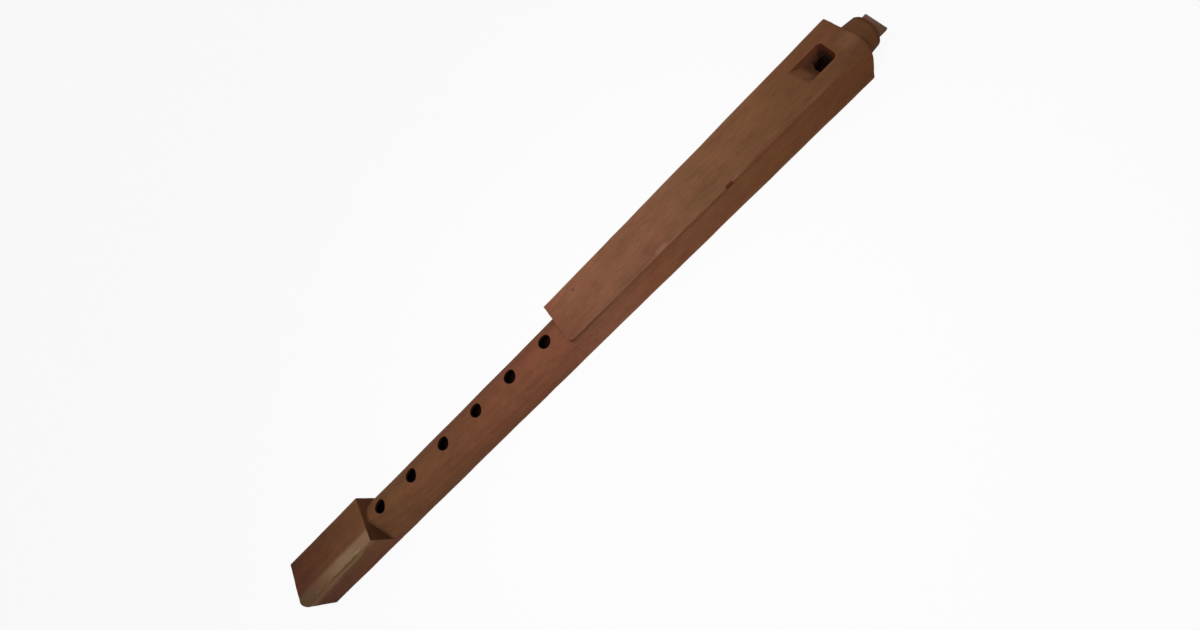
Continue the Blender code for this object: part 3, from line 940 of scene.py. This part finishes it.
class StickWood(Wood):
    """The body's wood, with wires that tell where a point lies on the squared stick.

    The ridge is the front right edge. Over it is on the front from 0 up, and down the side from 0 down.
    """

    def __init__(self, name):
        super().__init__(name)
        swell = self.x.share(HEAD_STEP, SHOULDER)
        half = STICK_WIDTH / 2 + swell * ((MOUTH_WIDTH - STICK_WIDTH) / 2)
        self.below = STICK_DEPTH + swell * (MOUTH_DEPTH - STICK_DEPTH) - self.z
        self.from_right = self.y + half
        self.from_left = half - self.y
        self.over_ridge = self.from_right - self.below
        self.under_ridge = -self.over_ridge
        self.from_foot = self.x - FOOT_END
        self.past_foot = self.x - FOOT_STEP
        self.past_step = self.x - HEAD_STEP
        self.past_window = self.x - WINDOW_HEAD
        along, upward = self.make("ShaderNodeTexCoord", output="Normal").parts("XZ")
        self.ends = along.math("ABSOLUTE").step(*END_FACING)
        self.upright = upward.step(*SIDE_FACING)
        self.patches = self.noise(*PATCH_NOISE).step(*PATCH_EDGE)
        self.flecks = self.noise(*FLECK_NOISE).step(*FLECK_EDGE)
        self.on_foot = self.past_foot.step(MASK_SOFT, 0.0)
        self.on_head = self.past_step.step(-MASK_SOFT, 0.0)
        self.find_foot_wear()
        self.find_window()

    def find_foot_wear(self):
        """Where the foot's ridge is worn, and where painted sheen lies on it."""
        self.foot_side = self.on_foot * (1 - self.ends)
        self.ragged = self.over_ridge + self.noise(*RAGGED_NOISE) * RAGGED_WIDTH
        self.strip = self.over_ridge - self.from_foot * STRIP_SLOPE
        self.wear = self.from_foot.step(*WEAR_ALONG)
        band = self.ragged.step(*BAND_START) * self.over_ridge.step(*BAND_END)
        self.worn_band = band * self.from_foot.step(*BAND_ALONG)
        taper = self.past_foot.step(-FOOT_WEAR_TAPER, 0.0) * (1 - FOOT_WEAR_STEP_SHARE)
        self.past_rounding = self.below - FOOT_WEAR_DOWN * (1 - taper)

    def find_window(self):
        """Where the window and its ramp are cut."""
        past_opening = self.y.math("ABSOLUTE") - (WINDOW_WIDTH / 2 + LEFT_SPREAD)
        self.in_opening = past_opening.step(*OPENING_EDGE)
        head_wall = WINDOW_HEAD + LEFT_HEAD + LEFT_SPREAD * HEAD_WALL_LEAN
        self.in_cut = self.in_opening * self.x.band(RAMP_TIP, head_wall, MASK_SOFT)
        self.walls = self.below.step(*WALL_DEPTH) * self.upright
        self.glint = self.below.band(*GLINT_DEPTH)


# Plain wood: its blotches and mottle. Painted light makes the head's front paler to the left, and the sides
# paler by the foot end and low by the head's step; painted shade tints the sides redder towards the mouth
# end.
BLOTCH_NOISE = (0.045, 0.014)
BLOTCH_EDGE = (0.02, 0.22)
BLOTCH_SHARE = 0.40
MOTTLE_NOISE = (0.012, 0.0075)
MOTTLE_SHADE = 0.38
LEFT_PAINTED_LIGHT = 7.0
SIDE_PAINTED_LIGHT = 0.15
PALER_FROM_FOOT = (0.045, 0.0)
PALER_PAST_STEP = (-0.008, 0.060, 0.022)
PALER_BELOW = (0.004, 0.016)
REDDER_PAST_STEP = (0.0, 0.080)


def plain_wood(wood):
    """Wood redder and browner by turns, mottled, with its figure, and with painted light and a painted
    redder shade in places.
    """
    blotches = wood.noise(*BLOTCH_NOISE)
    wood.stain(LENGTH_COLOURS, wood.x.share(FOOT_END, NIPPLE_END))
    wood.lay(RED_WOOD, blotches.step(*BLOTCH_EDGE) * BLOTCH_SHARE)
    wood.lay(BROWN_WOOD, (-blotches).step(*BLOTCH_EDGE) * BLOTCH_SHARE)
    figure = wood.rings * RING_SHADE + wood.streaks * STREAK_SHADE + wood.fibres * FIBRE_SHADE
    mottle = wood.noise(*MOTTLE_NOISE) * MOTTLE_SHADE
    # Painted light: the head's front paler to the left, and the sides paler by the foot end and low by the
    # head's step
    front_painted_light = wood.y * LEFT_PAINTED_LIGHT * wood.on_head * (1 - wood.upright)
    by_step = wood.past_step.band(*PALER_PAST_STEP) * wood.below.step(*PALER_BELOW)
    side_painted_light = (wood.from_foot.step(*PALER_FROM_FOOT) + by_step) * wood.upright * SIDE_PAINTED_LIGHT
    wood.shade(1.0 + figure + mottle + front_painted_light + side_painted_light)
    # Painted shade: the head's sides tinted redder and darker towards the mouth end
    wood.lay(SIDE_SHADE_TINT, wood.past_step.step(*REDDER_PAST_STEP) * wood.upright, "MULTIPLY")
    wood.lay(PORE_DARK, wood.pores * PORE_SHARE)


# Rubbed edges: how near an edge the wood is rubbed, how much, and how much less on the head's ridge
EDGE_NEAR = (0.0026, 0.0003)
EDGE_SHARE = 0.45
RIDGE_LESS = 0.60


def rubbed_edges(wood):
    """How far the long edges are rubbed pale, in patches, the head's front right edge least."""
    above_back = STICK_DEPTH - wood.below
    edge = (wood.from_left + wood.below).math("MINIMUM", wood.from_left + above_back)
    edge = edge.math("MINIMUM", wood.from_right + above_back)
    ridge = (wood.from_right + wood.below).step(*EDGE_NEAR) * (1 - wood.on_head * RIDGE_LESS)
    return edge.step(*EDGE_NEAR).math("MAXIMUM", ridge) * wood.patches * EDGE_SHARE


# Marks of the foot's worn edge, pale with wear and with painted sheen
FOOT_MARKS = [
    # The pale rounding, worn and with a painted sheen, and grime on it at the foot end
    (ROUNDING_SHEEN_WOOD, 0.40, {"wear": 0.30}, {
        "over_ridge": (-0.0062, -0.0012, 0.0010), "past_rounding": (0.0004, -0.0004)}),
    (GRIMED_WOOD, 0.75, {}, {"over_ridge": (-0.0050, 0.0050, 0.0040), "from_foot": (0.022, 0.004)}),
    # A pale ragged band on the front, worn and with a painted sheen, with chips along its edge that carry
    # painted glints
    (WORN_SHEEN_WOOD, 0.80, {"patches": 0.20}, {"worn_band": ()}),
    (CHIP_GLINT_WOOD, 0.80, {}, {"worn_band": (), "ragged": (0.0030, 0.0008), "flecks": ()}),
    # A dark line down the side, and a pale strip below it, worn and with a painted sheen
    (LINE_DARK, 0.12, {"patches": 0.36}, {
        "ragged": (-0.0028, -0.0016, 0.0006), "from_foot": (0.028, 0.053, 0.005)}),
    (RUBBED_AND_HIGHLIGHT_WOOD, 0.45, {"patches": 0.20}, {
        "strip": (-0.0093, -0.0064, 0.0018), "from_foot": (0.042, 0.022)}),
    # The rubbed corner at the step, pale with wear and painted sheen
    (RUBBED_AND_HIGHLIGHT_WOOD, 0.55, {}, {"over_ridge": (-0.0046, 0.0050, 0.0012), "past_foot": (-0.010, -0.004)})]

# Marks of the head's front right edge
HEAD_MARKS = [
    # Painted shade under it, less towards the mouth end, and a painted shadow close to it by the step
    (LINE_DARK, 0.26, {}, {
        "over_ridge": (-0.0055, -0.0012), "under_ridge": (0.0004, 0.0012), "x": (WINDOW_HEAD, NICK)}),
    (RIDGE_SHADOW, 0.36, {}, {"over_ridge": (-0.0024, -0.0008, 0.0006), "past_step": (0.040, 0.010)}),
    # A painted highlight on the ridge, and painted shade in the chip
    (RUBBED_AND_HIGHLIGHT_WOOD, 0.60, {"flecks": 0.40}, {
        "from_foot": (0.3266, 0.3306, 0.0036), "from_right": (0.0008, 0.0026, 0.0010),
        "below": (0.0008, 0.0004)}),
    (CHIP_SHADE, 0.80, {}, {
        "x": (NICK - 0.0022, NICK + 0.0022, 0.0006), "from_right": (0.0012, 0.0008),
        "below": (NICK_DOWN + 0.0004, NICK_DOWN)})]

# Specks in the head's front, and a paler place by the shoulder: their colour, where they lie along and
# across, their radius, that of their even middle, and their share
SPOTS = [
    (PORE_DARK, FOOT_END + 0.2748, 0.0089, 0.0009, 0.00045, 0.80),
    (PORE_DARK, FOOT_END + 0.3946, -0.0054, 0.0008, 0.0004, 0.35),
    (RUBBED_AND_HIGHLIGHT_WOOD, SHOULDER - 0.0045, -0.0045, 0.0080, 0.0080 / 3, 0.30)]


def front_spots(wood):
    """Small dark specks in the front of the head, and a pale place by the shoulder."""
    front = wood.z.step(BORE_HEIGHT, STICK_DEPTH) * (1 - wood.upright)
    for colour, x, y, radius, middle, share in SPOTS:
        off = distance(wood.x - x, wood.y - y)
        wood.lay(colour, off.step(radius, middle) * front * share)


# Marks of the ends and steps
END_MARKS = [
    # Dark end grain
    (END_GRAIN, 0.75, {}, {"ends": ()}),
    # Painted shade in the corner at the foot's step, before the head's step, and on the face of the foot's
    # step
    (BLACK, 0.35, {}, {
        "past_foot": (0.0, 0.0004, 0.0016), "from_foot": (FOOT_LENGTH, FOOT_LENGTH + MASK_SOFT),
        "z": (0.0060, 0.0125)}),
    (BLACK, 0.08, {}, {"past_step": (-0.0050, -0.0010), "x": (HEAD_STEP, HEAD_STEP - MASK_SOFT)}),
    (BLACK, 0.32, {}, {"past_foot": (-0.0005, 0.0005, 0.0003), "y": (-0.0010, -0.0090), "ends": ()}),
    # Painted shade on the nipple, and its rim
    (BLACK, 0.10, {}, {"x": (SHOULDER - MASK_SOFT, SHOULDER + 0.0020)}),
    (RIM_WOOD, 0.55, {}, {"x": (NIPPLE_END - 0.0014, NIPPLE_END, 0.0008)})]

# Marks of the window and its ramp
WINDOW_MARKS = [
    # Painted shade, darker the deeper it is cut
    (CUT_SHADE, 0.85, {}, {"below": (0.0015, 0.0057)}),
    # Painted shade on the walls, painted light on the left one, and darker painted shade down by the bore,
    # less at a painted glint
    (WALL_SHADE, 0.80, {}, {"walls": ()}),
    (WALL_LIT, 0.90, {}, {"walls": (), "y": (0.0052, 0.0058), "past_window": (-0.0008, -0.0024)}),
    (DEEP_WALL_SHADE, 0.80, {"glint": -0.56}, {
        "walls": (), "below": (0.0020, 0.0080), "x": (LABIUM - 0.0020, LABIUM + 0.0020)}),
    # Painted shade on the head wall, darker with depth
    (BLACK, 0.40, {}, {"walls": (), "past_window": (-0.0036, -0.0016), "below": (0.0028, 0.0060)})]

# A chisel's mark on the ramp: a stroke across and one back
STROKE_LINE = (-0.0005, 0.0003, 0.0004)
STROKE_Y = (-0.0052, -0.0018, 0.0004)
BACK_LINE = (0.0098, 0.0106, 0.0004)
BACK_Y = (-0.0052, -0.0038, 0.0004)
MARK_DEPTH = (0.0040, 0.0034)
MARK_SHARE = 0.50


def chisel_mark(wood):
    """Two dark strokes of a chisel that meet on the ramp."""
    up_ramp = wood.x - RAMP_TIP
    stroke = (up_ramp + wood.y).band(*STROKE_LINE) * wood.y.band(*STROKE_Y)
    back = (up_ramp - wood.y).band(*BACK_LINE) * wood.y.band(*BACK_Y)
    mark = stroke.math("MAXIMUM", back) * wood.below.step(*MARK_DEPTH) * wood.in_opening
    wood.lay(LINE_DARK, mark * MARK_SHARE)


# Painted shade in the bore and the holes: how far past the bore and the holes it reaches, and where the
# window opens the bore and leaves it out
BORE_SHADE_REACH = (0.0003, 0.0001)
HOLE_SHADE_REACH = (0.0003, 0.0)
HOLE_SHADE_RISE = (0.0, 0.0010)
OPEN_FADE = 0.0030
OPEN_RISE = (-0.0015, 0.0015)
INNER_SHADE_SHARE = 0.92


def shaded_holes(wood):
    """The bore and the finger holes, painted near black as the shade inside them."""
    rise = wood.z - BORE_HEIGHT
    bored = (distance(wood.y, rise) - BORE_RADIUS).step(*BORE_SHADE_REACH)
    count = (wood.x - hole_places[0]) / HOLE_PITCH
    nearest = count.math("ROUND").held(0.0, HOLE_COUNT - 1.0)
    off = distance((count - nearest) * HOLE_PITCH, wood.y)
    drilled = (off - HOLE_RADIUS).step(*HOLE_SHADE_REACH) * rise.step(*HOLE_SHADE_RISE)
    open_to_window = wood.x.band(LABIUM, WINDOW_HEAD, OPEN_FADE) * rise.step(*OPEN_RISE)
    wood.lay(INNER_SHADE, (bored * (1 - open_to_window)).math("MAXIMUM", drilled) * INNER_SHADE_SHARE)


# How much rougher the body's wood is in its streaks, pores and ends, and smoother where it is rubbed
STREAK_ROUGHER = 0.25
PORE_ROUGHER = 0.12
END_ROUGHER = 0.10
RUB_SMOOTHER = 0.25


def carved_wood():
    """Dark reddish wood of the body, with its worn edges, tool cuts, painted light and shade, and holes
    painted dark with shade.
    """
    wood = StickWood("carved_wood")
    rubbed = rubbed_edges(wood)
    plain_wood(wood)
    wood.lay(RUBBED_AND_HIGHLIGHT_WOOD, rubbed)
    wood.lay_marks(FOOT_MARKS, wood.foot_side)
    wood.lay_marks(HEAD_MARKS, wood.on_head)
    front_spots(wood)
    wood.lay_marks(END_MARKS)
    wood.lay_marks(WINDOW_MARKS, wood.in_cut)
    chisel_mark(wood)
    shaded_holes(wood)
    rougher = wood.streaks * STREAK_ROUGHER + wood.pores * PORE_ROUGHER + wood.ends * END_ROUGHER
    return wood.finish(WOOD_ROUGHNESS + rougher - rubbed * RUB_SMOOTHER)


# The block: how its figure shows, and its pores, painted shade on its right side, its rim, and painted
# near-black shade at its inner end
BLOCK_MIDDLE = 0.5
BLOCK_RINGS = 0.08
BLOCK_STREAK_ROUGHER = 0.20
BLOCK_MARKS = [
    (PORE_DARK, PORE_SHARE, {}, {"pores": ()}),
    (BLOCK_RIGHT_SHADE, 0.80, {}, {"y": (0.0020, -0.0060)}),
    (PORE_DARK, 0.55, {}, {"x": (BLOCK_END - 0.0014, BLOCK_END - 0.0002)}),
    (INNER_SHADE, 0.98, {}, {"x": (WINDOW_HEAD + 0.0040, WINDOW_HEAD + 0.0010)})]


def block_wood():
    """Paler wood of the block, with painted shade on its right, darker along its outer rim, and painted
    near-black shade at its end in the bore.
    """
    wood = Wood("planed_wood")
    wood.stain(BLOCK_COLOURS, BLOCK_MIDDLE + wood.streaks + wood.rings * BLOCK_RINGS)
    wood.shade(1.0 + wood.fibres * FIBRE_SHADE)
    wood.lay_marks(BLOCK_MARKS)
    return wood.finish(WOOD_ROUGHNESS + wood.streaks * BLOCK_STREAK_ROUGHER)


# Stage


def looked_at(tree):
    """1 where the camera sees a surface, straight, mirrored or through glass."""
    rays = [Wire.of(tree, "ShaderNodeLightPath", output=f"Is {kind} Ray")
            for kind in ("Camera", "Glossy", "Transmission")]
    return rays[0].math("MAXIMUM", rays[1]).math("MAXIMUM", rays[2])


def floor():
    """A wide pale floor that the camera sees as white, with the flute's shadow on it."""
    mesh = bpy.data.meshes.new("floor")
    with editing(mesh) as bm:
        bmesh.ops.create_grid(bm, size=FLOOR_HALF, matrix=Matrix.Translation((0.0, 0.0, -FLOOR_GAP)))
    material = bpy.data.materials.new("floor")
    material.use_nodes = True
    tree = material.node_tree
    tree.nodes.clear()
    lit = Wire.of(tree, "ShaderNodeBsdfDiffuse", {"Color": FLOOR_COLOUR})
    glow = Wire.of(tree, "ShaderNodeEmission", {"Color": WHITE, "Strength": 1.0})
    share = looked_at(tree) * FLOOR_GLOW
    mixed = Wire.of(tree, "ShaderNodeMixShader", {0: share, 1: lit, 2: glow})
    Wire.of(tree, "ShaderNodeOutputMaterial", {"Surface": mixed})
    mesh.materials.append(material)
    object_from("floor", mesh)


def key_light():
    """A soft lamp above the flute's right side, aimed across at its middle."""
    lamp = bpy.data.lights.new("key", "AREA")
    lamp.shape = "DISK"
    lamp.size = KEY_SIZE
    lamp.energy = KEY_POWER
    light = object_from("key", lamp)
    light.location = (FOOT_END + KEY_FROM_FOOT, KEY_Y, KEY_Z)
    aim = Vector((0.0, -KEY_Y, KEY_AIM_Z - KEY_Z))
    light.rotation_euler = aim.to_track_quat("-Z", "Y").to_euler()


def room():
    """Even light from all round, seen as white by the camera."""
    world = bpy.data.worlds.new("room")
    bpy.context.scene.world = world
    world.use_nodes = True
    tree = world.node_tree
    tree.nodes.clear()
    even = Wire.of(tree, "ShaderNodeBackground", {"Color": WHITE, "Strength": ROOM_LIGHT})
    white = Wire.of(tree, "ShaderNodeBackground", {"Color": WHITE, "Strength": 1.0})
    mixed = Wire.of(tree, "ShaderNodeMixShader", {0: looked_at(tree), 1: even, 2: white})
    Wire.of(tree, "ShaderNodeOutputWorld", {"Surface": mixed})


def camera():
    """The photograph's viewpoint: a wide lens close over the flute's front right side."""
    lens = bpy.data.cameras.new("camera")
    lens.sensor_width = SENSOR_WIDTH
    lens.lens = FOCAL_PIXELS / PICTURE_WIDTH * SENSOR_WIDTH
    lens.clip_start = NEAREST_SEEN
    view = object_from("camera", lens)
    right, up, ahead = Vector(CAMERA_RIGHT), Vector(CAMERA_UP), Vector(CAMERA_AHEAD)
    turn = Matrix((right, up, -ahead)).transposed().to_4x4()
    view.matrix_world = Matrix.Translation((FOOT_END + CAMERA_FROM_FOOT, CAMERA_Y, CAMERA_Z)) @ turn
    bpy.context.scene.camera = view


def main():
    bpy.context.scene.view_settings.view_transform = "Standard"
    camera()
    carved_body(carved_wood())
    planed_block(block_wood())
    floor()
    room()
    key_light()


main()
